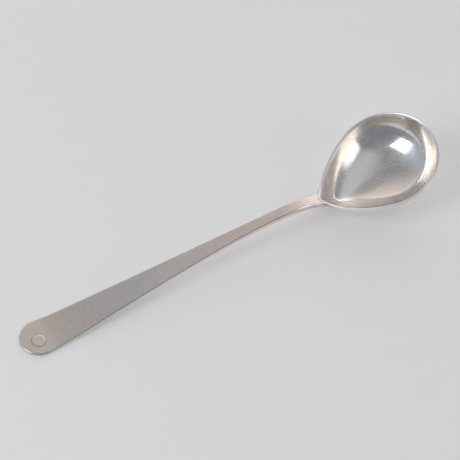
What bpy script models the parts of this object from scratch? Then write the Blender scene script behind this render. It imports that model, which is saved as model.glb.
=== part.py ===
"""Serving spoon in four pieces: bowl, edge strip, handle and inlaid disc.

Frame: metres, +Z up, +X from the handle's end to the bowl's tip, Y across.
The spoon lies on the plane z = 0 with its length centred on the origin.
"""

import math

import bmesh
import bpy
import numpy as np
from mathutils import Vector

MM = 0.001

# Overall
OVERALL_LENGTH = 210.0 * MM
FIT_GAP = 0.3 * MM

# Bowl outline, in the plane of its mouth
BOWL_LENGTH = 61.2 * MM
TIP_RADIUS = 24.6 * MM
FLANK_RADIUS = 57.0 * MM
NECK_ARC_RADIUS = 2.8 * MM
MOUTH_TILT_ANGLE = math.radians(16.7)
NECK_RISE = 2.9 * MM
NECK_RISE_LENGTH = 9.0 * MM

# Bowl section
COVE_DEPTH = 7.1 * MM
COVE_REACH = 14.0 * MM
COVE_POWER = 3.05
FLOOR_DEPTH = 6.2 * MM
NECK_ROUND_SHARE = 0.95
NECK_ROUND_POWER = 1.4
BOWL_WALL = 1.2 * MM
SIDE_HEIGHT_TIP = 1.5 * MM
SIDE_HEIGHT_NECK = 2.1 * MM
SIDE_FADE = 5.0
REST_FLAT_DEPTH = 0.2 * MM

# Edge strip
RIM_WIDTH = 1.2 * MM
RIM_HEIGHT = 0.9 * MM
RIM_EDGE_BREAK = 0.12 * MM

# Handle, from its wide end to the neck
HANDLE_END_RADIUS = 9.25 * MM
HANDLE_END_THICKNESS = 1.3 * MM
HANDLE_TAPER_ANGLE = math.radians(4.5)
HANDLE_FLAT_LENGTH = 12.3 * MM
HANDLE_EDGE_BREAK = 0.2 * MM
TAPER_END_TO_NECK = 23.8 * MM
CREST_TO_NECK = 17.0 * MM
CREST_HEIGHT = 13.8 * MM
RISE_START_PULL = 14.2 * MM
RISE_END_PULL = 39.1 * MM
DIP_START_PULL = 9.1 * MM
DIP_END_PULL = 5.0 * MM
DIP_END_SLOPE = 0.38
NECK_WIDTH = 5.2 * MM
NECK_THICKNESS = 3.3 * MM
NECK_FILLET_RADIUS = 9.0 * MM
SHOULDER_REACH = 1.5 * MM

# Tongue under the bowl
TONGUE_WIDTH = 5.2 * MM
TONGUE_TIP_WIDTH = 1.6 * MM
TONGUE_THICKNESS = 1.0 * MM
TONGUE_TIP_THICKNESS = 0.5 * MM
TONGUE_START_INSET = 0.9 * MM
TONGUE_END_INSET = 3.8 * MM

# Inlaid disc
DISC_RADIUS = 3.2 * MM
DISC_THICKNESS = 0.5 * MM
DISC_FROM_END = 8.0 * MM
DISC_OFFSET = -1.5 * MM

# Fineness
TIP_ARC_STEPS = 20
FLANK_ARC_STEPS = 12
NECK_ARC_STEPS = 5
END_ARC_STEPS = 11
RISE_STEPS = 22
DIP_STEPS = 7
SHOULDER_STEPS = 6
TONGUE_STEPS = 6
DISC_STEPS = 48
SMOOTH_ANGLE = math.radians(30.0)
CRISP_ANGLE = math.radians(50.0)
EDGE_BREAK_STEPS = 2
CURVE_SAMPLES = 60
DISH_SAMPLES = 401
DEPTH_HALVINGS = 40
TANGENT_STEP = 0.2 * MM
BOWL_STEPS = (1.0, 0.965, 0.925, 0.88, 0.83, 0.77, 0.7, 0.6, 0.48, 0.34, 0.18)

# The tip arc, the flank arcs and the neck arc are tangent to each other
TIP_CENTRE = BOWL_LENGTH - TIP_RADIUS
NECK_TO_FLANK = FLANK_RADIUS - NECK_ARC_RADIUS
TIP_TO_FLANK = FLANK_RADIUS - TIP_RADIUS
CENTRES_APART = TIP_CENTRE - NECK_ARC_RADIUS
FLANK_ALONG = (NECK_TO_FLANK**2 - TIP_TO_FLANK**2 + CENTRES_APART**2) / (2.0 * CENTRES_APART)
FLANK_X = NECK_ARC_RADIUS + FLANK_ALONG
FLANK_Y = -math.sqrt(NECK_TO_FLANK**2 - FLANK_ALONG**2)
TIP_ARC_END = math.atan2(-FLANK_Y, TIP_CENTRE - FLANK_X)
NECK_ARC_START = math.atan2(-FLANK_Y, NECK_ARC_RADIUS - FLANK_X)
CORNER_X = FLANK_X - math.sqrt(FLANK_RADIUS**2 - (NECK_WIDTH / 2.0 - FLANK_Y) ** 2)

INNER_DEPTH = COVE_DEPTH + FLOOR_DEPTH
BOWL_DEPTH = INNER_DEPTH + BOWL_WALL
BOWL_EDGE = RIM_HEIGHT + FIT_GAP
TIP_OVERHANG = SIDE_HEIGHT_TIP * math.sin(MOUTH_TILT_ANGLE)
NECK_X = OVERALL_LENGTH / 2.0 - BOWL_LENGTH * math.cos(MOUTH_TILT_ANGLE) - TIP_OVERHANG
NECK_FROM_END = NECK_X + OVERALL_LENGTH / 2.0
TAPER_END = NECK_FROM_END - TAPER_END_TO_NECK
CREST_FROM_END = NECK_FROM_END - CREST_TO_NECK


def neck_centre(inset, radius):
    """Place on the middle line of the neck arc that is tangent to the inset flank arcs."""
    return FLANK_X - math.sqrt((FLANK_RADIUS - inset - radius) ** 2 - FLANK_Y**2)


def outline(inset, neck_radius):
    """Closed loop of tangent arcs inside the mouth's edge, as (x, y) from the tip round."""
    neck_x = neck_centre(inset, neck_radius)
    neck_start = math.atan2(-FLANK_Y, neck_x - FLANK_X)
    arcs = (
        (TIP_CENTRE, 0.0, TIP_RADIUS - inset, 0.0, TIP_ARC_END, TIP_ARC_STEPS),
        (FLANK_X, FLANK_Y, FLANK_RADIUS - inset, TIP_ARC_END, neck_start, FLANK_ARC_STEPS),
        (neck_x, 0.0, neck_radius, neck_start, math.pi, NECK_ARC_STEPS),
    )
    half = []
    for x, y, radius, first, last, steps in arcs:
        for i in range(steps):
            angle = first + (last - first) * i / steps
            half.append((x + radius * math.cos(angle), y + radius * math.sin(angle)))
    other = [(x, -y) for x, y in reversed(half[1:])]
    return half + [(neck_x - neck_radius, 0.0)] + other


def edge_loop(inset):
    """Loop at an even distance inside the mouth's edge."""
    return outline(inset, NECK_ARC_RADIUS - inset)


def dish_neck_radius(edge_inset, reach):
    """Neck radius of the dish's loop at a reach inside its edge, growing to a full round."""
    tip = TIP_RADIUS - edge_inset
    start = (NECK_ARC_RADIUS - edge_inset) / tip
    share = start + (NECK_ROUND_SHARE - start) * (reach / tip) ** NECK_ROUND_POWER
    return (tip - reach) * share


def dish_depth(edge_inset, reach):
    """Depth of the dish's loop at a reach inside its edge: a cove and a round floor."""
    tip = TIP_RADIUS - edge_inset
    cove = 1.0 - max(0.0, 1.0 - reach / COVE_REACH) ** COVE_POWER
    floor = 1.0 - (1.0 - reach / tip) ** 2
    return COVE_DEPTH * cove + FLOOR_DEPTH * floor


def inner_reach(depth):
    """Reach at which the dish's inside lies at a depth."""
    low = 0.0
    high = COVE_REACH
    for _ in range(DEPTH_HALVINGS):
        middle = (low + high) / 2.0
        if dish_depth(RIM_WIDTH, middle) < depth:
            low = middle
        else:
            high = middle
    return high


def side_height(x):
    """Height of the bowl's upright side below the mouth plane."""
    share = max(0.0, 1.0 - x / TIP_CENTRE) ** SIDE_FADE
    return SIDE_HEIGHT_TIP + (SIDE_HEIGHT_NECK - SIDE_HEIGHT_TIP) * share


def inner_loop(reach):
    """Level loop of the dish's inside."""
    loop = outline(RIM_WIDTH + reach, dish_neck_radius(RIM_WIDTH, reach))
    return [(x, y, -dish_depth(RIM_WIDTH, reach)) for x, y in loop]


def outer_height(edge_x, reach, grow):
    """Height of the dish's outside, under the upright side at its edge."""
    side = side_height(edge_x)
    return -side - (BOWL_DEPTH - side) * dish_depth(-grow, reach) / INNER_DEPTH - grow


def outer_loop(share, grow):
    """Loop of the dish's outside at a share of the way to its edge, grown by a clearance."""
    reach = (TIP_RADIUS + grow) * (1.0 - share)
    loop = outline(reach - grow, dish_neck_radius(-grow, reach))
    edge = edge_loop(-grow)
    return [(x, y, outer_height(e[0], reach, grow)) for (x, y), e in zip(loop, edge)]


def under_neck(reach):
    """Point of the dish's outside on the middle line, at a reach from the neck."""
    radius = dish_neck_radius(0.0, reach)
    return neck_centre(reach, radius) - radius, 0.0, outer_height(0.0, reach, 0.0)


def lowest_below_neck():
    """Lowest height of the tilted dish, measured from the neck's edge."""
    heights = []
    for reach in np.linspace(0.0, TIP_RADIUS, DISH_SAMPLES):
        x, _, z = under_neck(float(reach))
        heights.append(x * math.sin(MOUTH_TILT_ANGLE) + z * math.cos(MOUTH_TILT_ANGLE))
    return min(heights)


NECK_HEIGHT = -lowest_below_neck() - REST_FLAT_DEPTH


def neck_rise(x):
    """How far the bowl bends up towards the handle, at a place along the mouth."""
    return NECK_RISE * max(0.0, 1.0 - x / NECK_RISE_LENGTH) ** 2


def placed(point):
    """Point in the mouth's frame moved to the spoon's frame."""
    x, y, z = point
    along = x * math.cos(MOUTH_TILT_ANGLE) - z * math.sin(MOUTH_TILT_ANGLE)
    up = x * math.sin(MOUTH_TILT_ANGLE) + z * math.cos(MOUTH_TILT_ANGLE) + neck_rise(x)
    return Vector((NECK_X + along, y, NECK_HEIGHT + up))


def bezier(points, count):
    """Points along a Bezier curve of degree two or three."""
    curve = []
    degree = len(points) - 1
    for t in np.linspace(0.0, 1.0, count):
        x = 0.0
        y = 0.0
        for k, (px, py) in enumerate(points):
            weight = math.comb(degree, k) * t**k * (1.0 - t) ** (degree - k)
            x += weight * px
            y += weight * py
        curve.append((float(x), float(y)))
    return curve


def new_object(name, bm, collection):
    """Mesh object from a bmesh, with outward normals."""
    bmesh.ops.recalc_face_normals(bm, faces=bm.faces)
    mesh = bpy.data.meshes.new(name)
    bm.to_mesh(mesh)
    bm.free()
    obj = bpy.data.objects.new(name, mesh)
    collection.objects.link(obj)
    return obj


def loft(name, loops, collection, first_point=None, last_point=None, ring=False):
    """Skin between loops of equal count, closed by points, end faces or a ring."""
    bm = bmesh.new()
    rows = [[bm.verts.new(p) for p in loop] for loop in loops]
    pairs = list(zip(rows[:-1], rows[1:]))
    if ring:
        pairs.append((rows[-1], rows[0]))
    for a, b in pairs:
        for i in range(len(a)):
            j = (i + 1) % len(a)
            bm.faces.new((a[i], a[j], b[j], b[i]))
    for row, point in ((rows[0], first_point), (rows[-1], last_point)):
        if ring:
            continue
        if point is None:
            bm.faces.new(row)
            continue
        pole = bm.verts.new(point)
        for i in range(len(row)):
            bm.faces.new((row[i], row[(i + 1) % len(row)], pole))
    return new_object(name, bm, collection)


def material(name, colour, roughness):
    """Metal finish."""
    mat = bpy.data.materials.new(name)
    mat.use_nodes = True
    shader = mat.node_tree.nodes["Principled BSDF"]
    shader.inputs["Base Color"].default_value = (*colour, 1.0)
    shader.inputs["Roughness"].default_value = roughness
    shader.inputs["Metallic"].default_value = 1.0
    return mat


def finish(obj, mat):
    """Give an object its material and smooth shading with crisp edges."""
    obj.data.materials.append(mat)
    obj.data.shade_smooth()
    obj.data.set_sharp_from_angle(angle=SMOOTH_ANGLE)


def cut(obj, cutter):
    """Subtract a cutter from an object."""
    modifier = obj.modifiers.new("cut_" + cutter.name, "BOOLEAN")
    modifier.operation = "DIFFERENCE"
    modifier.solver = "EXACT"
    modifier.object = cutter


def break_edges(obj, width):
    """Small round on an object's crisp edges."""
    modifier = obj.modifiers.new("edge_break", "BEVEL")
    modifier.width = width
    modifier.segments = EDGE_BREAK_STEPS
    modifier.limit_method = "ANGLE"
    modifier.angle_limit = CRISP_ANGLE


def build_bowl(parts, cutters):
    """Dish with an open mouth, its edge left low for the edge strip."""
    top = inner_reach(BOWL_EDGE)
    full = TIP_RADIUS - RIM_WIDTH
    loops = [inner_loop(full - (full - top) * s) for s in reversed(BOWL_STEPS)]
    loops.append([(x, y, -BOWL_EDGE) for x, y in edge_loop(0.0)])
    loops += [outer_loop(s, 0.0) for s in BOWL_STEPS]
    inside = placed((TIP_CENTRE, 0.0, -INNER_DEPTH))
    outside = placed((TIP_CENTRE, 0.0, -BOWL_DEPTH))
    moved = [[placed(p) for p in loop] for loop in loops]
    bowl = loft("bowl", moved, parts, inside, outside)
    low = (NECK_X, -TIP_RADIUS, -BOWL_DEPTH)
    high = (OVERALL_LENGTH, TIP_RADIUS, 0.0)
    cut(bowl, new_box("cut_rest_flat", low, high, cutters))
    return bowl


def new_box(name, low, high, collection):
    """Box between two corners."""
    bm = bmesh.new()
    bmesh.ops.create_cube(bm, size=1.0)
    size = Vector(high) - Vector(low)
    middle = (Vector(high) + Vector(low)) / 2.0
    for v in bm.verts:
        v.co = Vector((v.co.x * size.x, v.co.y * size.y, v.co.z * size.z)) + middle
    return new_object(name, bm, collection)


def new_cylinder(name, radius, low, high, collection):
    """Upright round plug on the disc's axis."""
    bm = bmesh.new()
    bmesh.ops.create_cone(
        bm,
        cap_ends=True,
        segments=DISC_STEPS,
        radius1=radius,
        radius2=radius,
        depth=high - low,
    )
    shift = Vector((DISC_FROM_END - OVERALL_LENGTH / 2.0, DISC_OFFSET, (low + high) / 2.0))
    bmesh.ops.translate(bm, vec=shift, verts=bm.verts)
    return new_object(name, bm, collection)


def build_rim(parts):
    """Edge strip that sits on the bowl's edge, its inner face in line with the dish."""
    loops = [
        [(x, y, 0.0) for x, y in edge_loop(0.0)],
        [(x, y, 0.0) for x, y in edge_loop(RIM_WIDTH)],
        inner_loop(inner_reach(RIM_HEIGHT)),
        [(x, y, -RIM_HEIGHT) for x, y in edge_loop(0.0)],
    ]
    moved = [[placed(p) for p in loop] for loop in loops]
    rim = loft("bowl_rim", moved, parts, ring=True)
    break_edges(rim, RIM_EDGE_BREAK)
    return rim


def handle_stations():
    """Sections of the handle as (top point, bottom point, half width), end to neck."""
    half_neck = NECK_WIDTH / 2.0
    neck_top = NECK_HEIGHT + NECK_RISE
    edge_start = HANDLE_END_RADIUS * (1.0 + math.sin(HANDLE_TAPER_ANGLE))
    edge_half = HANDLE_END_RADIUS * math.cos(HANDLE_TAPER_ANGLE)
    pull = edge_start + (edge_half - half_neck) / math.tan(HANDLE_TAPER_ANGLE)
    edge = bezier([(edge_start, edge_half), (pull, half_neck), (TAPER_END, half_neck)], CURVE_SAMPLES)
    rise = bezier(
        [
            (HANDLE_FLAT_LENGTH, HANDLE_END_THICKNESS),
            (HANDLE_FLAT_LENGTH + RISE_START_PULL, HANDLE_END_THICKNESS),
            (CREST_FROM_END - RISE_END_PULL, CREST_HEIGHT),
            (CREST_FROM_END, CREST_HEIGHT),
        ],
        RISE_STEPS + 1,
    )
    dip = bezier(
        [
            (CREST_FROM_END, CREST_HEIGHT),
            (CREST_FROM_END + DIP_START_PULL, CREST_HEIGHT),
            (NECK_FROM_END - DIP_END_PULL, neck_top + DIP_END_PULL * DIP_END_SLOPE),
            (NECK_FROM_END, neck_top),
        ],
        CURVE_SAMPLES,
    )
    shoulder_end = NECK_FROM_END + SHOULDER_REACH
    turn = NECK_ARC_START - math.pi / 2.0
    corner = NECK_FROM_END + CORNER_X * math.cos(MOUTH_TILT_ANGLE)
    fillet_start = corner - NECK_FILLET_RADIUS * math.tan(turn / 2.0)

    def top_at(u):
        if u <= HANDLE_FLAT_LENGTH:
            return HANDLE_END_THICKNESS
        if u <= CREST_FROM_END:
            return float(np.interp(u, [p[0] for p in rise], [p[1] for p in rise]))
        if u <= NECK_FROM_END:
            return float(np.interp(u, [p[0] for p in dip], [p[1] for p in dip]))
        past = (u - NECK_FROM_END) / math.cos(MOUTH_TILT_ANGLE)
        return NECK_HEIGHT + past * math.sin(MOUTH_TILT_ANGLE) + neck_rise(past)

    def half_at(u):
        if u <= edge_start:
            return math.sqrt(max(0.0, u * (2.0 * HANDLE_END_RADIUS - u)))
        if u <= fillet_start:
            return float(np.interp(u, [p[0] for p in edge], [p[1] for p in edge]))
        over = u - fillet_start
        return half_neck + NECK_FILLET_RADIUS - math.sqrt(NECK_FILLET_RADIUS**2 - over**2)

    places = []
    last_angle = math.pi / 2.0 + HANDLE_TAPER_ANGLE
    for i in range(1, END_ARC_STEPS + 1):
        angle = last_angle * (i - 0.5) / (END_ARC_STEPS - 0.5)
        places.append(HANDLE_END_RADIUS * (1.0 - math.cos(angle)))
    places += [p[0] for p in rise]
    for i in range(1, DIP_STEPS + 1):
        places.append(CREST_FROM_END + (fillet_start - CREST_FROM_END) * i / DIP_STEPS)
    for i in range(1, SHOULDER_STEPS + 1):
        places.append(fillet_start + (shoulder_end - fillet_start) * i / SHOULDER_STEPS)
    stations = []
    for u in places:
        thick = HANDLE_END_THICKNESS
        if u > HANDLE_FLAT_LENGTH:
            share = (u - HANDLE_FLAT_LENGTH) / (NECK_FROM_END - HANDLE_FLAT_LENGTH)
            thick += (NECK_THICKNESS - HANDLE_END_THICKNESS) * share
        x = u - OVERALL_LENGTH / 2.0
        top = top_at(u)
        stations.append((Vector((x, 0.0, top)), Vector((x, 0.0, top - thick)), half_at(u)))
    return stations


def tongue_stations():
    """Sections of the tongue, each square to the dish's outside under the neck."""
    stations = []
    for i in range(TONGUE_STEPS):
        share = i / (TONGUE_STEPS - 1)
        reach = TONGUE_START_INSET + (TONGUE_END_INSET - TONGUE_START_INSET) * share
        here = placed(under_neck(reach))
        ahead = placed(under_neck(reach + TANGENT_STEP))
        along = (ahead - here).normalized()
        outward = Vector((along.z, 0.0, -along.x))
        thick = TONGUE_THICKNESS + (TONGUE_TIP_THICKNESS - TONGUE_THICKNESS) * share
        width = TONGUE_WIDTH + (TONGUE_TIP_WIDTH - TONGUE_WIDTH) * share
        bottom = here + outward * (FIT_GAP + thick)
        top = here - outward * width / 2.0
        stations.append((top, bottom, width / 2.0))
    return stations


def build_handle(parts, cutters):
    """Stem and tongue in one piece, fitted round the bowl's neck, with the disc's seat."""
    loops = []
    for top, bottom, half in handle_stations() + tongue_stations():
        side = Vector((0.0, half, 0.0))
        loops.append([top - side, top + side, bottom + side, bottom - side])
    handle = loft("handle", loops, parts)
    break_edges(handle, HANDLE_EDGE_BREAK)
    room = [[(x, y, NECK_THICKNESS) for x, y in edge_loop(-FIT_GAP)]]
    room += [outer_loop(s, FIT_GAP) for s in BOWL_STEPS]
    moved = [[placed(p) for p in loop] for loop in room]
    lid = placed((TIP_CENTRE, 0.0, NECK_THICKNESS))
    base = placed((TIP_CENTRE, 0.0, -BOWL_DEPTH - FIT_GAP))
    cut(handle, loft("cut_bowl_room", moved, cutters, lid, base))
    seat_floor = HANDLE_END_THICKNESS - DISC_THICKNESS - FIT_GAP
    seat_top = HANDLE_END_THICKNESS + DISC_THICKNESS
    seat = new_cylinder("cut_disc_seat", DISC_RADIUS + FIT_GAP, seat_floor, seat_top, cutters)
    cut(handle, seat)
    return handle


def build_disc(parts):
    """Plain round inlay, flush with the handle's top."""
    low = HANDLE_END_THICKNESS - DISC_THICKNESS
    return new_cylinder("handle_disc", DISC_RADIUS, low, HANDLE_END_THICKNESS, parts)


def main():
    """Build the spoon from an empty scene."""
    for obj in list(bpy.data.objects):
        bpy.data.objects.remove(obj, do_unlink=True)
    parts = bpy.data.collections.new("serving_spoon")
    cutters = bpy.data.collections.new("cutters")
    bpy.context.scene.collection.children.link(parts)
    bpy.context.scene.collection.children.link(cutters)
    finish(build_bowl(parts, cutters), material("polished_silver", (0.78, 0.75, 0.71), 0.12))
    finish(build_rim(parts), material("bright_silver", (0.82, 0.79, 0.77), 0.18))
    finish(build_handle(parts, cutters), material("satin_silver", (0.66, 0.62, 0.59), 0.38))
    finish(build_disc(parts), material("inlay_silver", (0.65, 0.59, 0.53), 0.34))
    for obj in cutters.objects:
        obj.hide_render = True
        obj.display_type = "WIRE"


main()
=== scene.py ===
import math

import bmesh
import bpy
import numpy as np
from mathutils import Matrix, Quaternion, Vector


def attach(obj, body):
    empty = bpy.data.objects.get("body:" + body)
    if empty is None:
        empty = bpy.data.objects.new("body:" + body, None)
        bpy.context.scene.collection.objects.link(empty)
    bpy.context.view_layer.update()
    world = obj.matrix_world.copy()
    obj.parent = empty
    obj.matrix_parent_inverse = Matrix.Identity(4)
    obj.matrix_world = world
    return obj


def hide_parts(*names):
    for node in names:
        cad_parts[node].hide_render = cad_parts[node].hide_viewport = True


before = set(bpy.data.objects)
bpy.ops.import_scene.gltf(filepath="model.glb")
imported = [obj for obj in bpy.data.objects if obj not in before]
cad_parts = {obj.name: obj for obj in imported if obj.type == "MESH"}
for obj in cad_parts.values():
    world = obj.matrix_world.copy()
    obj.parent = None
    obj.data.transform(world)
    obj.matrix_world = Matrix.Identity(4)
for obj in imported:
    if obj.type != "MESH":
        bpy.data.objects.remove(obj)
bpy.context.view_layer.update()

MM = 0.001

# Sizes of the solids
LENGTH = 210.0 * MM
BOWL_LENGTH = 61.2 * MM
TIP_RADIUS = 24.6 * MM
FLANK_RADIUS = 57.0 * MM
NECK_ARC = 2.8 * MM
TILT = math.radians(16.7)
NECK_RISE = 2.9 * MM
NECK_RISE_LENGTH = 9.0 * MM
COVE_DEPTH = 7.1 * MM
COVE_REACH = 14.0 * MM
COVE_POWER = 3.05
FLOOR_DEPTH = 6.2 * MM
NECK_ROUND_SHARE = 0.95
NECK_ROUND_POWER = 1.4
BOWL_WALL = 1.2 * MM
SIDE_TIP = 1.5 * MM
SIDE_NECK = 2.1 * MM
SIDE_FADE = 5.0
REST_FLAT = 0.2 * MM
RIM_WIDTH = 1.2 * MM
RIM_HEIGHT = 0.9 * MM
END_RADIUS = 9.25 * MM
END_THICK = 1.3 * MM
TAPER = math.radians(4.5)
FLAT_LENGTH = 12.3 * MM
TAPER_TO_NECK = 23.8 * MM
CREST_TO_NECK = 17.0 * MM
CREST_HEIGHT = 13.8 * MM
RISE_START_PULL = 14.2 * MM
RISE_END_PULL = 39.1 * MM
DIP_START_PULL = 9.1 * MM
DIP_END_PULL = 5.0 * MM
DIP_END_SLOPE = 0.38
NECK_WIDTH = 5.2 * MM
NECK_THICK = 3.0 * MM
NECK_FILLET = 9.0 * MM
SHOULDER_THICK = 1.0 * MM
DISC_RADIUS = 3.2 * MM
DISC_THICK = 0.5 * MM
DISC_FROM_END = 8.0 * MM
DISC_OFFSET = -1.5 * MM

# Fits and edges that only the looks have
SKIN = 0.03 * MM
SAME_SPOT = 0.0005 * MM
SEAM = 0.05 * MM
RIM_ROUND = 0.28 * MM
RIM_LAND = 0.40 * MM
# Angle in degrees that each arc of the lip's crown ends at, and its radius
RIM_CROWN = ((14.0, 0.5 * MM), (31.0, 2.1 * MM), (64.0, 0.18 * MM))
RIM_INNER_DEPTHS = (0.4 * MM, 0.55 * MM, 0.7 * MM)
HANDLE_EDGE = 0.3 * MM
EDGE_FADE = 2.0 * MM
NECK_BEND = 7.0 * MM
PAST_NECK = 10.0 * MM
TOP_EDGE = 0.42 * MM
# Slope in degrees of each facet of the handle's top edge, and its share
TOP_EDGE_TURNS = ((10.0, 0.10), (25.0, 0.12), (45.0, 0.80), (65.0, 0.12), (80.0, 0.10))
DISC_GROOVE = 0.08 * MM
DISC_EDGE = 0.07 * MM
DISC_EDGE_BREAK = 0.3
DISC_RINGS = (0.66, 0.33)
TONGUE_START = 0.1 * MM
TONGUE_LENGTH = 3.6 * MM
TONGUE_HALF = 2.5 * MM
TONGUE_TAPER = 1.2 * MM
TONGUE_THICK = 1.1 * MM
TONGUE_THINNING = 0.55 * MM
TONGUE_SINK = 0.2 * MM
TONGUE_BLUNT = 0.02
TONGUE_STEP = 0.1 * MM

# Fineness of the meshes
TIP_STEPS = 80
FLANK_STEPS = 48
NECK_STEPS = 28
INNER_ROWS = 130
OUTER_ROWS = 90
LAST_ROW = 0.985
ROW_CROWDING = 1.3
TURN_STEPS = 6
CROWN_STEPS = 5
END_ARC_START = math.radians(5.0)
END_STEPS = 44
STEM_STEPS = 200
SHOULDER_STEPS = 18
STEM_COLUMNS = 13
SLOPE_STEP = 0.05 * MM
DISC_STEPS = 96
TONGUE_ROWS = 24
TONGUE_STEPS = 17
CURVE_SAMPLES = 400
REACH_SAMPLES = 2000
UNDER_SAMPLES = 401
PAST_SAMPLES = 100
SHARP_ANGLE = 40.0
RIM_SHARP_ANGLE = 50.0
FLAT_SHARP_ANGLE = 30.0

TIP_CENTRE = BOWL_LENGTH - TIP_RADIUS
CENTRES_APART = TIP_CENTRE - NECK_ARC
NECK_TO_FLANK = FLANK_RADIUS - NECK_ARC
TIP_TO_FLANK = FLANK_RADIUS - TIP_RADIUS
FLANK_ALONG = (NECK_TO_FLANK**2 - TIP_TO_FLANK**2 + CENTRES_APART**2) / (2 * CENTRES_APART)
FLANK_X = NECK_ARC + FLANK_ALONG
FLANK_Y = -math.sqrt(NECK_TO_FLANK**2 - FLANK_ALONG**2)
TIP_ARC_END = math.atan2(-FLANK_Y, TIP_CENTRE - FLANK_X)
NECK_ARC_START = math.atan2(-FLANK_Y, NECK_ARC - FLANK_X)
INNER_DEPTH = COVE_DEPTH + FLOOR_DEPTH
BOWL_DEPTH = INNER_DEPTH + BOWL_WALL
NECK_X = LENGTH / 2 - BOWL_LENGTH * math.cos(TILT) - SIDE_TIP * math.sin(TILT)
NECK_U = NECK_X + LENGTH / 2


def neck_centre(inset, radius):
    """Place of the centre of a neck arc that touches the flanks of an inset outline."""
    return FLANK_X - math.sqrt((FLANK_RADIUS - inset - radius) ** 2 - FLANK_Y**2)


def arc(x, y, radius, angles):
    return np.column_stack([x + radius * np.cos(angles), y + radius * np.sin(angles)])


def outline(inset, neck_radius):
    """Loop of tangent arcs inside the mouth's edge, as an array of (x, y)."""
    neck_x = neck_centre(inset, neck_radius)
    neck_start = math.atan2(-FLANK_Y, neck_x - FLANK_X)
    tip = np.linspace(0, TIP_ARC_END, TIP_STEPS, endpoint=False)
    flank = np.linspace(TIP_ARC_END, neck_start, FLANK_STEPS, endpoint=False)
    neck = np.linspace(neck_start, math.pi, NECK_STEPS + 1)
    half = np.concatenate(
        [
            arc(TIP_CENTRE, 0.0, TIP_RADIUS - inset, tip),
            arc(FLANK_X, FLANK_Y, FLANK_RADIUS - inset, flank),
            arc(neck_x, 0.0, neck_radius, neck),
        ]
    )
    return np.concatenate([half, half[-2:0:-1] * np.array([1.0, -1.0])])


def edge_loop(inset):
    return outline(inset, NECK_ARC - inset)


def dish_neck_radius(edge_inset, reach):
    """Radius of the neck arc of a dish loop, which grows rounder towards the middle."""
    tip = TIP_RADIUS - edge_inset
    start = (NECK_ARC - edge_inset) / tip
    return (tip - reach) * (start + (NECK_ROUND_SHARE - start) * (reach / tip) ** NECK_ROUND_POWER)


def dish_depth(edge_inset, reach):
    """Depth of the dish at a reach inward from its edge."""
    tip = TIP_RADIUS - edge_inset
    cove = 1 - max(0.0, 1 - reach / COVE_REACH) ** COVE_POWER
    return COVE_DEPTH * cove + FLOOR_DEPTH * (1 - (1 - reach / tip) ** 2)


def inner_reach(depth):
    """Reach at which the dish's inside lies at a depth."""
    reaches = np.linspace(0, COVE_REACH, REACH_SAMPLES)
    return float(np.interp(depth, [dish_depth(RIM_WIDTH, r) for r in reaches], reaches))


def side_height(x):
    """Height of the bowl's side, greatest at the neck."""
    return SIDE_TIP + (SIDE_NECK - SIDE_TIP) * np.maximum(0.0, 1 - x / TIP_CENTRE) ** SIDE_FADE


def with_z(xy, z):
    return np.column_stack([xy, np.broadcast_to(z, len(xy))])


def inner_loop(reach):
    loop = outline(RIM_WIDTH + reach, dish_neck_radius(RIM_WIDTH, reach))
    return with_z(loop, -dish_depth(RIM_WIDTH, reach))


def outer_height(edge_x, reach):
    side = side_height(edge_x)
    return -side - (BOWL_DEPTH - side) * dish_depth(0.0, reach) / INNER_DEPTH


def outer_loop(reach):
    loop = outline(SKIN + reach * (1 - SKIN / TIP_RADIUS), dish_neck_radius(0.0, reach))
    return with_z(loop, outer_height(edge_loop(0.0)[:, 0], reach))


def under_neck(reach):
    """Point of the dish's outside on the middle line, at a reach from the neck."""
    radius = dish_neck_radius(0.0, reach)
    height = float(outer_height(np.array([0.0]), reach)[0])
    return np.array([neck_centre(reach, radius) - radius, 0.0, height])


def lowest_under_neck():
    """Lowest height on the middle line of the dish's outside, with the mouth tilted."""
    points = [under_neck(r) for r in np.linspace(0, TIP_RADIUS, UNDER_SAMPLES)]
    return min(p[0] * math.sin(TILT) + p[2] * math.cos(TILT) for p in points)


NECK_Z = -lowest_under_neck() - REST_FLAT


def neck_rise(x):
    """How far the bowl bends up towards the handle, at places along the mouth."""
    return NECK_RISE * np.maximum(0.0, 1 - x / NECK_RISE_LENGTH) ** 2


def placed(points):
    """Points of the mouth's frame in the spoon's frame."""
    p = np.atleast_2d(points)
    along = p[:, 0] * math.cos(TILT) - p[:, 2] * math.sin(TILT)
    up = p[:, 0] * math.sin(TILT) + p[:, 2] * math.cos(TILT) + neck_rise(p[:, 0])
    return np.column_stack([NECK_X + along, p[:, 1], NECK_Z + up])


def new_object(name, verts, faces, sharp):
    """New smooth-shaded object, with edges kept sharp above an angle in degrees."""
    mesh = bpy.data.meshes.new(name)
    mesh.from_pydata([tuple(v) for v in verts], [], faces)
    bm = bmesh.new()
    bm.from_mesh(mesh)
    bmesh.ops.remove_doubles(bm, verts=bm.verts, dist=SAME_SPOT)
    bmesh.ops.recalc_face_normals(bm, faces=bm.faces)
    bm.to_mesh(mesh)
    bm.free()
    mesh.shade_smooth()
    mesh.set_sharp_from_angle(angle=math.radians(sharp))
    obj = bpy.data.objects.new(name, mesh)
    bpy.context.scene.collection.objects.link(obj)
    return obj


def piece(name, verts, faces, node, slot, sharp=SHARP_ANGLE):
    """New piece that stands for a node."""
    obj = new_object(name, verts, faces, sharp)
    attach(obj, "root")
    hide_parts(node)
    return obj


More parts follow.
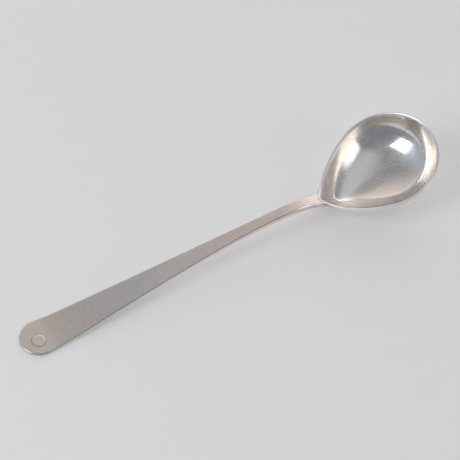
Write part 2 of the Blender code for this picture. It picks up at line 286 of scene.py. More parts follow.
def skin(loops, ring=False, poles=(None, None)):
    """Vertices and faces between loops of equal count."""
    n = len(loops[0])
    verts = list(np.concatenate(loops))
    faces = []
    pairs = [(k, k + 1) for k in range(len(loops) - 1)]
    if ring:
        pairs.append((len(loops) - 1, 0))
    for a, b in pairs:
        for i in range(n):
            j = (i + 1) % n
            faces.append((a * n + i, a * n + j, b * n + j, b * n + i))
    for k, pole in ((0, poles[0]), (len(loops) - 1, poles[1])):
        if pole is None:
            continue
        verts.append(pole)
        for i in range(n):
            faces.append((k * n + i, k * n + (i + 1) % n, len(verts) - 1))
    return verts, faces


def make_bowl():
    """Dish, from the middle of its inside over the step for the edge strip to its underside."""
    top = RIM_HEIGHT + SEAM
    full = TIP_RADIUS - RIM_WIDTH
    first = inner_reach(top)
    inner_shares = np.linspace(LAST_ROW, 0.0, INNER_ROWS) ** ROW_CROWDING
    outer_shares = np.linspace(0.0, LAST_ROW, OUTER_ROWS) ** ROW_CROWDING
    side = edge_loop(SKIN)
    loops = [inner_loop(first + (full - first) * s) for s in inner_shares]
    loops.append(with_z(side, -top))
    loops.append(with_z(side, -(top + side_height(side[:, 0])) / 2))
    loops += [outer_loop(TIP_RADIUS * s) for s in outer_shares]
    moved = [placed(p) for p in loops]
    for loop in moved:
        loop[:, 2] = np.maximum(loop[:, 2], 0.0)
    inside = placed([TIP_CENTRE, 0.0, -INNER_DEPTH])[0]
    outside = placed([TIP_CENTRE, 0.0, -BOWL_DEPTH])[0]
    verts, faces = skin(moved, poles=(inside, outside))
    return piece("bowl_dish", verts, faces, "bowl", "bowl")


def make_rim():
    """Edge strip with a round outer edge and a crowned lip."""
    side = edge_loop(SKIN)
    loops = [with_z(side, -RIM_HEIGHT), with_z(side, -RIM_HEIGHT / 2)]
    for t in np.linspace(0, math.pi / 2, TURN_STEPS):
        loop = edge_loop(SKIN + RIM_ROUND * (1 - math.cos(t)))
        loops.append(with_z(loop, -RIM_ROUND * (1 - math.sin(t))))
    inset = RIM_LAND
    drop = 0.0
    start = 0.0
    for angle, radius in RIM_CROWN:
        end = math.radians(angle)
        for t in np.linspace(start, end, CROWN_STEPS):
            loop = edge_loop(inset + radius * (math.sin(t) - math.sin(start)))
            loops.append(with_z(loop, -drop - radius * (math.cos(start) - math.cos(t))))
        inset += radius * (math.sin(end) - math.sin(start))
        drop += radius * (math.cos(start) - math.cos(end))
        start = end
    for depth in (*RIM_INNER_DEPTHS, RIM_HEIGHT):
        loops.append(inner_loop(inner_reach(depth)))
    verts, faces = skin([placed(p) for p in loops], ring=True)
    return piece("bowl_edge_strip", verts, faces, "bowl_rim", "bowl_rim", RIM_SHARP_ANGLE)


def bezier(points):
    """Places along a Bezier curve with the given control points."""
    t = np.linspace(0, 1, CURVE_SAMPLES)
    degree = len(points) - 1
    weights = [math.comb(degree, k) * t**k * (1 - t) ** (degree - k) for k in range(degree + 1)]
    return sum(w[:, None] * p for w, p in zip(weights, np.array(points)))


def past_neck_line():
    """Top line of the handle past the neck, where it follows the mouth."""
    past = np.linspace(0.0, PAST_NECK, PAST_SAMPLES)
    line = np.column_stack([past * math.cos(TILT), past * math.sin(TILT) + neck_rise(past)])
    return line + [NECK_U, NECK_Z]


# Lines of the handle, with u along it from its round end
HALF_NECK = NECK_WIDTH / 2
EDGE_START = END_RADIUS * (1 + math.sin(TAPER))
EDGE_HALF = END_RADIUS * math.cos(TAPER)
EDGE_PULL = EDGE_START + (EDGE_HALF - HALF_NECK) / math.tan(TAPER)
EDGE = bezier(
    [
        (EDGE_START, EDGE_HALF),
        (EDGE_PULL, HALF_NECK),
        (NECK_U - TAPER_TO_NECK, HALF_NECK),
    ]
)
CREST_U = NECK_U - CREST_TO_NECK
RISE = bezier(
    [
        (FLAT_LENGTH, END_THICK),
        (FLAT_LENGTH + RISE_START_PULL, END_THICK),
        (CREST_U - RISE_END_PULL, CREST_HEIGHT),
        (CREST_U, CREST_HEIGHT),
    ]
)
DIP = bezier(
    [
        (CREST_U, CREST_HEIGHT),
        (CREST_U + DIP_START_PULL, CREST_HEIGHT),
        (NECK_U - DIP_END_PULL, NECK_Z + NECK_RISE + DIP_END_PULL * DIP_END_SLOPE),
        (NECK_U, NECK_Z + NECK_RISE),
    ]
)
TOP_LINE = np.concatenate([[(0.0, END_THICK)], RISE, DIP[1:], past_neck_line()[1:]])
CORNER_X = FLANK_X - math.sqrt(FLANK_RADIUS**2 - (HALF_NECK - FLANK_Y) ** 2)
FILLET_TURN = NECK_ARC_START - math.pi / 2
FILLET_START = NECK_U + CORNER_X * math.cos(TILT) - NECK_FILLET * math.tan(FILLET_TURN / 2)
FRONT_U = FILLET_START + NECK_FILLET * math.sin(FILLET_TURN)


def top_at(u):
    return np.interp(u, TOP_LINE[:, 0], TOP_LINE[:, 1])


def thick_at(u):
    """Thickness of the handle, greatest at the neck."""
    share = np.clip((u - FLAT_LENGTH) / (NECK_U - FLAT_LENGTH), 0.0, None)
    thick = END_THICK + (NECK_THICK - END_THICK) * np.minimum(share, 1.0)
    past = np.clip((u - NECK_U) / (FRONT_U - NECK_U), 0.0, 1.0)
    return thick + (SHOULDER_THICK - NECK_THICK) * past


def half_at(u):
    """Half width of the handle past its round end."""
    if u <= FILLET_START:
        return float(np.interp(u, EDGE[:, 0], EDGE[:, 1]))
    over = u - FILLET_START
    return HALF_NECK + NECK_FILLET - math.sqrt(NECK_FILLET**2 - over**2)


def neck_reach(v):
    """How far the bowl's outline lies past its neck point, at a distance off the middle line."""
    v = np.abs(v)
    near = NECK_ARC - np.sqrt(np.maximum(NECK_ARC**2 - v**2, 0.0))
    far = FLANK_X - np.sqrt(np.maximum(FLANK_RADIUS**2 - (v - FLANK_Y) ** 2, 0.0))
    return np.where(v < NECK_ARC * math.sin(NECK_ARC_START), near, far) * math.cos(TILT)


def stem_rows():
    """Rows across the handle: place along it, half width and the edge's outward direction."""
    rows = []
    for a in np.linspace(END_ARC_START, math.pi / 2 + TAPER, END_STEPS, endpoint=False):
        along = -math.cos(a)
        across = math.sin(a)
        rows.append((END_RADIUS * (1 + along), END_RADIUS * across, along, across))
    stem = np.linspace(EDGE_START, FILLET_START, STEM_STEPS, endpoint=False)
    shoulder = np.linspace(FILLET_START, FRONT_U, SHOULDER_STEPS)
    for u in np.concatenate([stem, shoulder]):
        slope = (half_at(u + SLOPE_STEP) - half_at(u - SLOPE_STEP)) / (2 * SLOPE_STEP)
        size = math.hypot(slope, 1.0)
        rows.append((u, half_at(u), -slope / size, 1.0 / size))
    return np.array(rows)


def top_edge_steps():
    """Places outward and down across the bevel of the handle's top edge."""
    turns = [(math.radians(angle), share) for angle, share in TOP_EDGE_TURNS]
    steps = np.array([(math.cos(a) * share, math.sin(a) * share) for a, share in turns])
    return np.cumsum(steps * TOP_EDGE / steps[:, 0].sum(), axis=0)


def make_handle():
    """Flat stem with a bevelled top edge and a round lower edge."""
    rows = stem_rows()
    count = len(rows)
    cols = np.linspace(1, -1, STEM_COLUMNS)
    last = STEM_COLUMNS - 1
    # The edges fade out at the shoulders, and the rows bend to the neck's arc
    fade = np.clip((FRONT_U - rows[:, 0]) / EDGE_FADE, 0, 1)
    neck_curve = neck_reach(cols * half_at(FRONT_U))
    front_middle = FRONT_U - neck_curve.max()
    neck_curve = neck_curve / neck_curve.max()
    bend_start = NECK_U - NECK_BEND
    bent = (rows[:, 0] - bend_start) * (front_middle - bend_start) / (FRONT_U - bend_start)
    middle = np.where(rows[:, 0] < bend_start, rows[:, 0], bend_start + bent)
    around = [(i, 0) for i in range(count)]
    around += [(count - 1, j) for j in range(1, last)]
    around += [(i, last) for i in range(count - 1, -1, -1)]
    around += [(0, j) for j in range(last - 1, 0, -1)]
    verts = []
    faces = []

    def row_points(i, inset):
        u, half, along, across = rows[i]
        moved = inset * fade[i]
        straight = middle[i] + (u - along * moved) - u
        bend = (u - middle[i]) * neck_curve
        return np.column_stack([straight + bend, cols * (half - across * moved)])

    def heights(points, drop, below):
        z = top_at(points[:, 0])
        if below:
            return np.maximum(z - thick_at(points[:, 0]), 0.0) + drop
        return z - drop

    def grid(inset, below):
        """Top or lower face; gives the numbers of the points around it."""
        start = len(verts)
        for i in range(count):
            p = row_points(i, inset)
            verts.extend(np.column_stack([p[:, 0] - LENGTH / 2, p[:, 1], heights(p, 0.0, below)]))
        for i in range(count - 1):
            for j in range(last):
                a = start + i * STEM_COLUMNS + j
                faces.append((a, a + 1, a + STEM_COLUMNS + 1, a + STEM_COLUMNS))
        return [start + i * STEM_COLUMNS + j for i, j in around]

    def edge_ring(inset, drop, below):
        """Ring of points around the handle; gives their numbers."""
        all_rows = [row_points(i, inset) for i in range(count)]
        start = len(verts)
        for i, j in around:
            p = all_rows[i][j]
            z = heights(p[None, :], drop * fade[i], below)[0]
            verts.append((p[0] - LENGTH / 2, p[1], z))
        return list(range(start, len(verts)))

    rings = [grid(TOP_EDGE, False)]
    for outward, down in top_edge_steps():
        rings.append(edge_ring(TOP_EDGE - outward, down, False))
    for t in np.linspace(0, math.pi / 2, TURN_STEPS)[:0:-1]:
        rings.append(edge_ring(HANDLE_EDGE * (1 - math.sin(t)), HANDLE_EDGE * (1 - math.cos(t)), True))
    rings.append(grid(HANDLE_EDGE, True))
    for a, b in zip(rings[:-1], rings[1:]):
        for i in range(len(a)):
            j = (i + 1) % len(a)
            faces.append((a[i], a[j], b[j], b[i]))
    return piece("handle_stem", verts, faces, "handle", "handle")


def round_plug(radii_heights):
    """Closed turned shape on the disc's axis."""
    angles = np.linspace(0, 2 * math.pi, DISC_STEPS, endpoint=False)
    ring = np.column_stack([np.cos(angles), np.sin(angles)])
    centre = np.array([DISC_FROM_END - LENGTH / 2, DISC_OFFSET, 0.0])
    loops = [with_z(ring * r, z) + centre for r, z in radii_heights]
    low = centre + [0.0, 0.0, radii_heights[0][1]]
    high = centre + [0.0, 0.0, radii_heights[-1][1]]
    return skin(loops, poles=(low, high))


def part_of(mesh, x, below):
    """The part of a mesh on one side of an upright plane, left open there."""
    bm = bmesh.new()
    bm.from_mesh(mesh)
    bmesh.ops.bisect_plane(
        bm,
        geom=bm.verts[:] + bm.edges[:] + bm.faces[:],
        plane_co=(x, 0, 0),
        plane_no=(1, 0, 0),
        clear_outer=below,
        clear_inner=not below,
    )
    return bm


def as_mesh(bm, name):
    mesh = bpy.data.meshes.new(name)
    bm.to_mesh(mesh)
    bm.free()
    return mesh


def with_seat(end_mesh):
    """Mesh of the handle's end with the seat of the disc cut in, its edge broken."""
    end_block = bpy.data.objects.new("handle_end", end_mesh)
    bpy.context.scene.collection.objects.link(end_block)
    seat = DISC_RADIUS + DISC_GROOVE
    profile = (
        (seat, END_THICK - DISC_THICK),
        (seat, END_THICK - DISC_EDGE),
        (seat + DISC_EDGE, END_THICK),
        (seat + 2 * DISC_EDGE, END_THICK + DISC_EDGE),
    )
    cutter = new_object("seat_cutter", *round_plug(profile), FLAT_SHARP_ANGLE)
    cut = end_block.modifiers.new("seat", "BOOLEAN")
    cut.operation = "DIFFERENCE"
    cut.solver = "EXACT"
    cut.object = cutter
    bpy.context.view_layer.update()
    graph = bpy.context.evaluated_depsgraph_get()
    seated = bpy.data.meshes.new_from_object(end_block.evaluated_get(graph))
    bpy.data.objects.remove(end_block, do_unlink=True)
    bpy.data.objects.remove(cutter, do_unlink=True)
    return seated


def cut_seat(stem):
    """Cuts the end off the handle, cuts the disc's seat in it and puts it back."""
    split = 2 * FLAT_LENGTH - LENGTH / 2
    end = part_of(stem.data, split, True)
    bmesh.ops.holes_fill(end, edges=[e for e in end.edges if e.is_boundary], sides=0)
    bmesh.ops.recalc_face_normals(end, faces=end.faces)
    rest = as_mesh(part_of(stem.data, split, False), "handle_rest")
    whole = bmesh.new()
    whole.from_mesh(with_seat(as_mesh(end, "handle_end")))

    def at_split(vert):
        return abs(vert.co.x - split) < SAME_SPOT

    cap = [f for f in whole.faces if all(at_split(v) for v in f.verts)]
    bmesh.ops.delete(whole, geom=cap, context="FACES")
    whole.from_mesh(rest)
    edge = [v for v in whole.verts if at_split(v)]
    bmesh.ops.remove_doubles(whole, verts=edge, dist=SAME_SPOT)
    whole.to_mesh(stem.data)
    whole.free()
    stem.data.shade_smooth()
    stem.data.set_sharp_from_angle(angle=math.radians(SHARP_ANGLE))


def make_disc():
    """Inlay with a softened edge, flush with the handle's top."""
    break_in = DISC_EDGE_BREAK * DISC_EDGE
    profile = [
        (DISC_RADIUS, END_THICK - DISC_THICK + SEAM),
        (DISC_RADIUS, END_THICK - DISC_EDGE),
        (DISC_RADIUS - break_in, END_THICK - break_in),
        (DISC_RADIUS - DISC_EDGE, END_THICK),
    ]
    profile += [(DISC_RADIUS * share, END_THICK) for share in DISC_RINGS]
    return piece("handle_inlay", *round_plug(profile), "handle_disc", "handle_disc")


def make_tongue():
    """Tongue of the handle, hugging the underside of the bowl's neck."""
    loops = []
    outer = np.linspace(0, math.pi, TONGUE_STEPS)
    inner = np.linspace(math.pi, 0, TONGUE_STEPS)[1:-1]
    for s in np.linspace(0.0, 1.0, TONGUE_ROWS):
        reach = TONGUE_START + TONGUE_LENGTH * s
        here = placed(under_neck(reach))[0]
        ahead = placed(under_neck(reach + TONGUE_STEP))[0]
        along = (ahead - here) / np.linalg.norm(ahead - here)
        outward = np.array([along[2], 0.0, -along[0]])
        end = math.sqrt(max(0.0, 1 - s**3)) + TONGUE_BLUNT
        half = (TONGUE_HALF - TONGUE_TAPER * s) * end
        thick = (TONGUE_THICK - TONGUE_THINNING * s) * end
        nose = dish_neck_radius(0.0, reach)
        rises = [(a, thick * math.sin(a)) for a in outer] + [(a, -TONGUE_SINK) for a in inner]
        ring = []
        for a, rise in rises:
            v = half * math.cos(a)
            out = math.sqrt(nose**2 - v**2) - nose + rise
            ring.append(here + outward * out + np.array([0.0, v, 0.0]))
        loops.append(np.array(ring))
    verts, faces = skin(loops, poles=(loops[0].mean(0), loops[-1].mean(0)))
    return piece("handle_tongue", verts, faces, "handle", "handle")


class Nodes:
    """Node tree of a new material or world, with short calls for the nodes used here."""

    def __init__(self, owner, coords="Object", output="OutputMaterial"):
        owner.use_nodes = True
        self.owner = owner
        self.output = output
        self.tree = owner.node_tree
        self.tree.nodes.clear()
        place = self.new("TexCoord")
        self.coords = place.outputs[coords]
        self.normal = place.outputs["Normal"]

    def new(self, kind, operation=None):
        node = self.tree.nodes.new("ShaderNode" + kind)
        if operation:
            node.operation = operation
        return node

    def put(self, socket, value):
        if isinstance(value, bpy.types.NodeSocket):
            self.tree.links.new(value, socket)
        else:
            socket.default_value = value

    def noise(self, scale, turn=0.0, shift=0.0, detail=2.0, distortion=0.0):
        """Noise with so many changes per metre on each axis, turned about the upright axis."""
        place = self.new("Mapping")
        place.inputs["Location"].default_value = (shift, shift, shift)
        place.inputs["Rotation"].default_value = (0.0, 0.0, math.radians(turn))
        place.inputs["Scale"].default_value = scale
        self.put(place.inputs["Vector"], self.coords)
        texture = self.new("TexNoise")
        texture.inputs["Scale"].default_value = 1.0
        texture.inputs["Detail"].default_value = detail
        texture.inputs["Distortion"].default_value = distortion
        self.put(texture.inputs["Vector"], place.outputs["Vector"])
        return texture.outputs["Fac"]

    def lines(self, distance, scale, detail):
        """Noise that changes along a distance only."""
        texture = self.new("TexNoise")
        texture.noise_dimensions = "1D"
        texture.inputs["Scale"].default_value = scale
        texture.inputs["Detail"].default_value = detail
        self.put(texture.inputs["W"], distance)
        return texture.outputs["Fac"]

    def ramp(self, factor, stops):
        """Colour along a factor; a stop's colour may be one number, for a grey."""
        node = self.new("ValToRGB")
        points = node.color_ramp.elements
        while len(points) < len(stops):
            points.new(0.5)
        for point, (place, colour) in zip(points, stops):
            point.position = place
            point.color = (*colour, 1.0) if isinstance(colour, tuple) else (colour, colour, colour, 1.0)
        self.put(node.inputs["Fac"], factor)
        return node.outputs["Color"]

    def shade(self, colour, brightness):
        node = self.new("HueSaturation")
        self.put(node.inputs["Color"], colour)
        self.put(node.inputs["Value"], brightness)
        return node.outputs["Color"]

    def dot(self, vector, direction):
        node = self.new("VectorMath", "DOT_PRODUCT")
        node.inputs[1].default_value = direction
        self.put(node.inputs[0], vector)
        return node.outputs["Value"]

    def along(self, direction, start):
        """Distance along a direction from a starting level."""
        return self.math("ADD", self.dot(self.coords, direction), start)

    def facing(self, direction):
        """How far the surface faces a direction, from -1 to 1."""
        return self.dot(self.normal, direction)

    def away_from_disc(self):
        """Distance from the disc's axis."""
        flat = self.new("VectorMath", "MULTIPLY")
        flat.inputs[1].default_value = (1.0, 1.0, 0.0)
        self.put(flat.inputs[0], self.coords)
        gap = self.new("VectorMath", "DISTANCE")
        gap.inputs[1].default_value = (DISC_FROM_END - LENGTH / 2, DISC_OFFSET, 0.0)
        self.put(gap.inputs[0], flat.outputs["Vector"])
        return gap.outputs["Value"]

    def math(self, operation, a, b=0.0):
        node = self.new("Math", operation)
        self.put(node.inputs[0], a)
        self.put(node.inputs[1], b)
        return node.outputs["Value"]

    def span(self, value, old, new=(0.0, 1.0), smooth=False):
        """Value carried from one span of numbers to another, and held at its ends."""
        node = self.new("MapRange")
        node.interpolation_type = "SMOOTHSTEP" if smooth else "LINEAR"
        names = ("From Min", "From Max", "To Min", "To Max")
        for name, number in zip(names, (*old, *new)):
            node.inputs[name].default_value = number
        self.put(node.inputs["Value"], value)
        return node.outputs["Result"]

    def bump(self, height, distance):
        node = self.new("Bump")
        node.inputs["Distance"].default_value = distance
        self.put(node.inputs["Height"], height)
        return node.outputs["Normal"]

    def metal(self, colour, roughness, normal):
        node = self.new("BsdfPrincipled")
        node.inputs["Metallic"].default_value = 1.0
        self.put(node.inputs["Base Color"], colour)
        self.put(node.inputs["Roughness"], roughness)
        self.put(node.inputs["Normal"], normal)
        return node.outputs["BSDF"]

    def mix(self, share, first, second):
        node = self.new("MixShader")
        self.put(node.inputs["Fac"], share)
        self.put(node.inputs[1], first)
        self.put(node.inputs[2], second)
        return node.outputs["Shader"]

    def add(self, first, second):
        node = self.new("AddShader")
        self.put(node.inputs[0], first)
        self.put(node.inputs[1], second)
        return node.outputs["Shader"]

    def end(self, shader):
        """Puts the shader out; gives the finished material or world."""
        out = self.new(self.output)
        self.put(out.inputs["Surface"], shader)
        return self.owner


# Spans that most of a noise's values fall in
NOISE_WIDE = (0.3, 0.7)
NOISE_MIDDLE = (0.35, 0.65)
UP = (0.0, 0.0, 1.0)

# Polish of the dish; its share of depth is 0 under the lip and 1 on the floor and outside
MOUTH_NORMAL = (-math.sin(TILT), 0.0, math.cos(TILT))
INTO_MOUTH = (math.sin(TILT), 0.0, -math.cos(TILT))
MOUTH_LEVEL = NECK_Z * math.cos(TILT) - NECK_X * math.sin(TILT)
INSIDE_FACING = (0.05, 0.25)
TINT_DEPTHS = (0.5 * MM, 8.5 * MM)
DISH_TONES = ((0.0, (0.92, 0.82, 0.72)), (0.4, (0.97, 0.89, 0.80)), (0.85, (0.95, 0.93, 0.91)))
# Turn in degrees, changes per metre along and across, and shift of each set of scratches
SCRATCH_SETS = ((35, 90, 1500, 0.3), (-20, 110, 1700, 1.7), (75, 80, 1300, 2.9), (10, 60, 2100, 4.1))
SCRATCH_LEVELS = (0.60, 0.72)
SCRATCH_FADE = (0.35, 0.75)
SCRATCHES_ON_BAND = 0.15
SCRATCH_HAZE = 0.5
SCRATCH_BUMP = 0.003 * MM
BURNISH_SCALE = 1500.0
BURNISH_SHADE = (-0.18, 0.04)
BURNISH_FADE = (0.35, 0.7)
WORN_HAZE = (0.18, 0.40)
BAND_HAZE = 0.20
BAND_HAZE_FADE = (0.3, 0.9)
SHARP_ROUGHNESS = (0.08, 0.12)
HAZY_ROUGHNESS = (0.30, 0.40)


def polished_silver():
    """Mirror polish, worn by scratches in several directions and a soft haze."""
    n = Nodes(bpy.data.materials.new("polished_silver"))
    inside = n.span(n.facing(MOUTH_NORMAL), INSIDE_FACING)
    outside = n.span(inside, (0.0, 1.0), (1.0, 0.0))
    depth = n.along(INTO_MOUTH, MOUTH_LEVEL)
    below = n.math("MAXIMUM", n.span(depth, TINT_DEPTHS), outside)
    scratches = 0.0
    for turn, along, across, shift in SCRATCH_SETS:
        lines = n.noise((along, across, across), turn, shift, detail=1.0, distortion=0.7)
        scratches = n.math("MAXIMUM", scratches, n.span(lines, SCRATCH_LEVELS))
    scratches = n.math("MULTIPLY", scratches, inside)
    scratches = n.math("MULTIPLY", scratches, n.span(below, SCRATCH_FADE, (SCRATCHES_ON_BAND, 1.0)))
    burnish = n.span(n.lines(depth, BURNISH_SCALE, detail=1.5), NOISE_MIDDLE, BURNISH_SHADE)
    burnish = n.math("MULTIPLY", burnish, n.span(below, BURNISH_FADE, (1.0, 0.0)))
    tone = n.shade(n.ramp(below, DISH_TONES), n.math("ADD", burnish, 1.0))
    patches = n.noise((70, 70, 70), shift=0.8, detail=3.0, distortion=0.5)
    haze = n.span(patches, NOISE_MIDDLE, WORN_HAZE)
    haze = n.math("ADD", haze, n.math("MULTIPLY", scratches, SCRATCH_HAZE))
    haze = n.math("ADD", haze, n.span(below, BAND_HAZE_FADE, (BAND_HAZE, 0.0)))
    normal = n.bump(scratches, SCRATCH_BUMP)
    sharp = n.metal(tone, n.span(patches, NOISE_WIDE, SHARP_ROUGHNESS), normal)
    hazy = n.metal(tone, n.span(patches, NOISE_WIDE, HAZY_ROUGHNESS), normal)
    return n.end(n.mix(haze, sharp, hazy))


RIM_TONES = ((0.35, (0.95, 0.91, 0.93)), (0.65, (0.97, 0.94, 0.95)))
RIM_ROUGHNESS = (0.30, 0.42)
RIM_BUMP = 0.003 * MM


def bright_silver():
    """Edge strip, rubbed bright by use."""
    n = Nodes(bpy.data.materials.new("bright_silver"))
    wear = n.noise((220, 220, 220), shift=0.4, detail=3.0)
    roughness = n.span(wear, NOISE_WIDE, RIM_ROUGHNESS)
    return n.end(n.metal(n.ramp(wear, RIM_TONES), roughness, n.bump(wear, RIM_BUMP)))


# Satin of the handle and the inlay
SATIN_TONES = (
    (0.0, (0.80, 0.74, 0.70)),
    (0.14, (0.79, 0.75, 0.71)),
    (0.33, (0.735, 0.73, 0.75)),
    (0.52, (0.83, 0.79, 0.775)),
    (0.74, (0.84, 0.745, 0.695)),
    (0.88, (0.80, 0.69, 0.64)),
    (1.0, (0.74, 0.67, 0.64)),
)
INLAY_TONES = ((0.0, (0.82, 0.76, 0.695)), (1.0, (0.87, 0.80, 0.725)))
BLOT_DRIFT = (-0.15, 0.15)
SPECK_DRIFT = (-0.06, 0.06)
FLECK_SHADE = (0.93, 1.07)
SATIN_ROUGHNESS = (0.30, 0.38)
PIT_LEVELS = (0.35, 0.7)
PIT_ROUGHNESS = (0.0, 0.06)
SATIN_BUMP = 0.012 * MM
EDGE_FACING = (0.76, 0.90)
EDGE_ROUGHNESS_SHARE = 0.45
SEAM_TONES = ((0.3, (0.30, 0.27, 0.24)), (0.7, (0.40, 0.36, 0.32)))
SEAM_SPREAD = (0.1 * MM, 0.4 * MM)
SEAM_TARNISH = 0.25
SEAM_BLOT_LEVELS = (0.35, 0.6)
SEAM_BLOTS = (0.4, 1.0)
SEAM_FACING = (0.0, 0.5)


def satin_silver(name, tones, length):
    """Fine matt finish with tarnish tints along a length, worn bright on its edges."""
    n = Nodes(bpy.data.materials.new(name))
    blots = n.noise((55, 90, 90), turn=12.0, shift=0.6, detail=3.0, distortion=0.8)
    specks = n.noise((520, 700, 700), turn=25.0, shift=1.1)
    flecks = n.noise((1100, 1500, 1500), turn=40.0, shift=2.3)
    grain = n.noise((900, 2600, 2600), shift=0.2)
    pits = n.noise((1500, 1500, 1500), shift=3.3, detail=3.0)
    place = n.span(n.along((1.0, 0.0, 0.0), LENGTH / 2), (0.0, length))
    place = n.math("ADD", place, n.span(blots, NOISE_WIDE, BLOT_DRIFT))
    place = n.math("ADD", place, n.span(specks, NOISE_WIDE, SPECK_DRIFT))
    tone = n.shade(n.ramp(place, tones), n.span(flecks, NOISE_WIDE, FLECK_SHADE))
    rough = n.span(grain, NOISE_WIDE, SATIN_ROUGHNESS)
    rough = n.math("ADD", rough, n.span(pits, PIT_LEVELS, PIT_ROUGHNESS))
    level = n.math("ABSOLUTE", n.facing(UP))
    rough = n.math("MULTIPLY", rough, n.span(level, EDGE_FACING, (EDGE_ROUGHNESS_SHARE, 1.0)))
    normal = n.bump(n.math("ADD", grain, pits), SATIN_BUMP)
    # Tarnish left in the seam around the disc
    off_seam = n.math("SUBTRACT", n.away_from_disc(), DISC_RADIUS + DISC_GROOVE)
    dark = n.span(n.math("ABSOLUTE", off_seam), SEAM_SPREAD, (SEAM_TARNISH, 0.0))
    dark = n.math("MULTIPLY", dark, n.span(blots, SEAM_BLOT_LEVELS, SEAM_BLOTS))
    dark = n.math("MULTIPLY", dark, n.span(n.facing(UP), SEAM_FACING))
    clean = n.metal(tone, rough, normal)
    tarnished = n.metal(n.ramp(specks, SEAM_TONES), rough, normal)
    return n.end(n.mix(dark, clean, tarnished))


# Pieces
bowl = make_bowl()
rim = make_rim()
stem = make_handle()
cut_seat(stem)
disc = make_disc()
tongue = make_tongue()
bowl.data.materials.append(polished_silver())
rim.data.materials.append(bright_silver())
satin = satin_silver("satin_silver", SATIN_TONES, NECK_U)
stem.data.materials.append(satin)
tongue.data.materials.append(satin)
disc.data.materials.append(satin_silver("inlay_silver", INLAY_TONES, 2 * DISC_FROM_END))

# Camera, aimed at a target on the floor
VIEW_AZIMUTH = math.radians(28.787)
VIEW_ELEVATION = 55.0
VIEW_DISTANCE = 1.1
VIEW_TARGET = Vector((5.856 * MM, 10.788 * MM, 0.0))
FRAME_PX = 460.0
FOCAL_PX = 2416.3
SENSOR_MM = 36.0


def seen_from(azimuth, elevation):
    """Direction at angles in degrees: azimuth clockwise from straight away from the camera."""
    a = math.radians(azimuth)
    e = math.radians(elevation)
    across = math.cos(e) * math.sin(a)
    away = math.cos(e) * math.cos(a)
    c = math.cos(VIEW_AZIMUTH)
    s = math.sin(VIEW_AZIMUTH)
    return Vector((across * c + away * s, -across * s + away * c, math.sin(e)))


camera_data = bpy.data.cameras.new("camera")
camera_data.sensor_width = SENSOR_MM
camera_data.lens = FOCAL_PX / FRAME_PX * SENSOR_MM
camera = bpy.data.objects.new("camera", camera_data)
toward = seen_from(180.0, VIEW_ELEVATION)
camera.location = VIEW_TARGET + toward * VIEW_DISTANCE
camera.rotation_euler = (-toward).to_track_quat("-Z", "Y").to_euler()
bpy.context.scene.collection.objects.link(camera)
bpy.context.scene.camera = camera
bpy.context.scene.view_settings.view_transform = "Standard"

# Stage
FLOOR_HALF = 3.0
FLOOR_DROP = 0.2 * MM
FLOOR_TONES = ((0.3, 0.87), (0.7, 0.89))
FLOOR_ROUGHNESS = 0.9
FLOOR_BUMP = 0.01 * MM
FLOOR_LIFT = 0.15
CORNERS = ((-1, -1), (1, -1), (1, 1), (-1, 1))
floor_corners = [(FLOOR_HALF * x, FLOOR_HALF * y, 0) for x, y in CORNERS]
floor = new_object("floor", floor_corners, [(0, 1, 2, 3)], FLAT_SHARP_ANGLE)
floor.location.z = -FLOOR_DROP


def pale_paper():
    """Plain matt board with a faint grain, lifted a little where it is seen."""
    n = Nodes(bpy.data.materials.new("pale_paper"))
    grain = n.noise((400, 400, 400), shift=0.5, detail=3.0)
    board = n.new("BsdfPrincipled")
    board.inputs["Roughness"].default_value = FLOOR_ROUGHNESS
    n.put(board.inputs["Base Color"], n.ramp(grain, FLOOR_TONES))
    n.put(board.inputs["Normal"], n.bump(grain, FLOOR_BUMP))
    path = n.new("LightPath")
    seen = n.math("MAXIMUM", path.outputs["Is Camera Ray"], path.outputs["Is Glossy Ray"])
    seen = n.math("MAXIMUM", seen, path.outputs["Is Transmission Ray"])
    board.inputs["Emission Color"].default_value = (1.0, 1.0, 1.0, 1.0)
    n.put(board.inputs["Emission Strength"], n.math("MULTIPLY", seen, FLOOR_LIFT))
    return n.end(board.outputs["BSDF"])


floor.data.materials.append(pale_paper())

# Lights, in metres and degrees, where the bowl mirrors them as in the photo
LIGHT_AIM = Vector((75 * MM, 0, 10 * MM))


def softbox(name, azimuth, elevation, roll, distance, width, height, radiance):
    """Area light that faces the bowl; its radiance is what a mirror would show."""
    data = bpy.data.lights.new(name, "AREA")
    data.shape = "RECTANGLE"
    data.size = width
    data.size_y = height
    data.energy = radiance * math.pi * width * height
    obj = bpy.data.objects.new(name, data)
    direction = seen_from(azimuth, elevation)
    obj.location = LIGHT_AIM + direction * distance
    turn = (-direction).to_track_quat("-Z", "Y") @ Quaternion((0, 0, 1), math.radians(roll))
    obj.rotation_euler = turn.to_euler()
    bpy.context.scene.collection.objects.link(obj)


softbox(
    "window_light",
    azimuth=-114.5,
    elevation=40.4,
    roll=13.8,
    distance=1.2,
    width=0.60,
    height=0.80,
    radiance=2.0,
)
softbox(
    "far_light",
    azimuth=27.0,
    elevation=20.0,
    roll=0.0,
    distance=1.4,
    width=1.3,
    height=0.6,
    radiance=0.7,
)

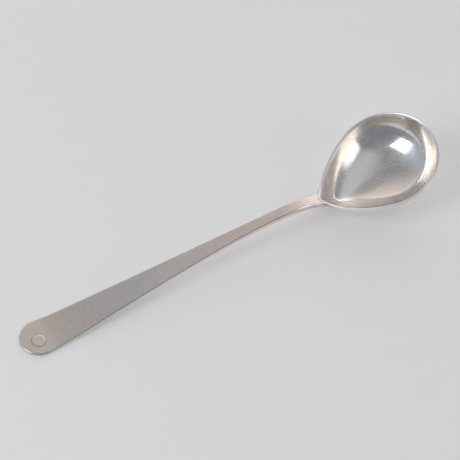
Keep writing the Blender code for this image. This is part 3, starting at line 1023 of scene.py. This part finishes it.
# Soft room light: walls that are palest on the far side, a pale ceiling, a cool glow beside
# the window, an upright lamp at the right and a small skylight on the far side
ROOM_TONES = (
    (0.0, (0.185, 0.195, 0.215)),
    (0.45, (0.215, 0.225, 0.245)),
    (0.66, (0.235, 0.24, 0.25)),
    (0.74, (0.325, 0.32, 0.315)),
    (0.82, (0.54, 0.50, 0.475)),
    (1.0, (0.98, 0.88, 0.82)),
)
CEILING_TONES = ((0.0, 0.0), (1.0, (0.27, 0.265, 0.26)))
WINDOW_GLOW_TONES = ((0.0, 0.0), (1.0, (0.12, 0.165, 0.21)))
WHITE_TONES = ((0.0, 0.0), (1.0, 1.0))
OVAL_EDGE = (1.5, 0.5)
room = Nodes(bpy.data.worlds.new("studio"), "Generated", "OutputWorld")


def far_share():
    """Share from 0 on the near side of the room to 1 on its far side."""
    return room.span(room.dot(room.coords, seen_from(0.0, 0.0)), (-1.0, 1.0))


def round_patch(azimuth, elevation, outer, inner):
    """Share that rises from 0 to 1 between two angles off a direction."""
    near = room.dot(room.coords, seen_from(azimuth, elevation))
    edge = (math.cos(math.radians(outer)), math.cos(math.radians(inner)))
    return room.span(near, edge, smooth=True)


def oval_patch(azimuth, elevation, half_width, half_height):
    """Share from 0 to 1 in an upright oval with a soft edge; its twin lies under the floor."""
    across = seen_from(azimuth + 90.0, 0.0) / math.sin(math.radians(half_width))
    upward = seen_from(azimuth, elevation + 90.0) / math.sin(math.radians(half_height))
    place = room.new("CombineXYZ")
    room.put(place.inputs["X"], room.dot(room.coords, across))
    room.put(place.inputs["Y"], room.dot(room.coords, upward))
    size = room.new("VectorMath", "LENGTH")
    room.put(size.inputs[0], place.outputs["Vector"])
    return room.span(size.outputs["Value"], OVAL_EDGE, smooth=True)


def glow(share, tones, strength=1.0):
    """Light whose colour follows a share."""
    node = room.new("Background")
    room.put(node.inputs["Color"], room.ramp(share, tones))
    node.inputs["Strength"].default_value = strength
    return node.outputs["Background"]


ceiling = round_patch(azimuth=75.0, elevation=70.0, outer=37.0, inner=15.0)
window_glow = round_patch(azimuth=-88.0, elevation=25.0, outer=34.0, inner=12.0)
lamp = oval_patch(azimuth=114.0, elevation=23.0, half_width=9.5, half_height=19.0)
skylight = round_patch(azimuth=13.0, elevation=37.0, outer=16.0, inner=5.0)
light = glow(far_share(), ROOM_TONES)
light = room.add(light, glow(ceiling, CEILING_TONES))
light = room.add(light, glow(window_glow, WINDOW_GLOW_TONES))
light = room.add(light, glow(lamp, WHITE_TONES, strength=1.6))
light = room.add(light, glow(skylight, WHITE_TONES, strength=0.45))
bpy.context.scene.world = room.end(light)
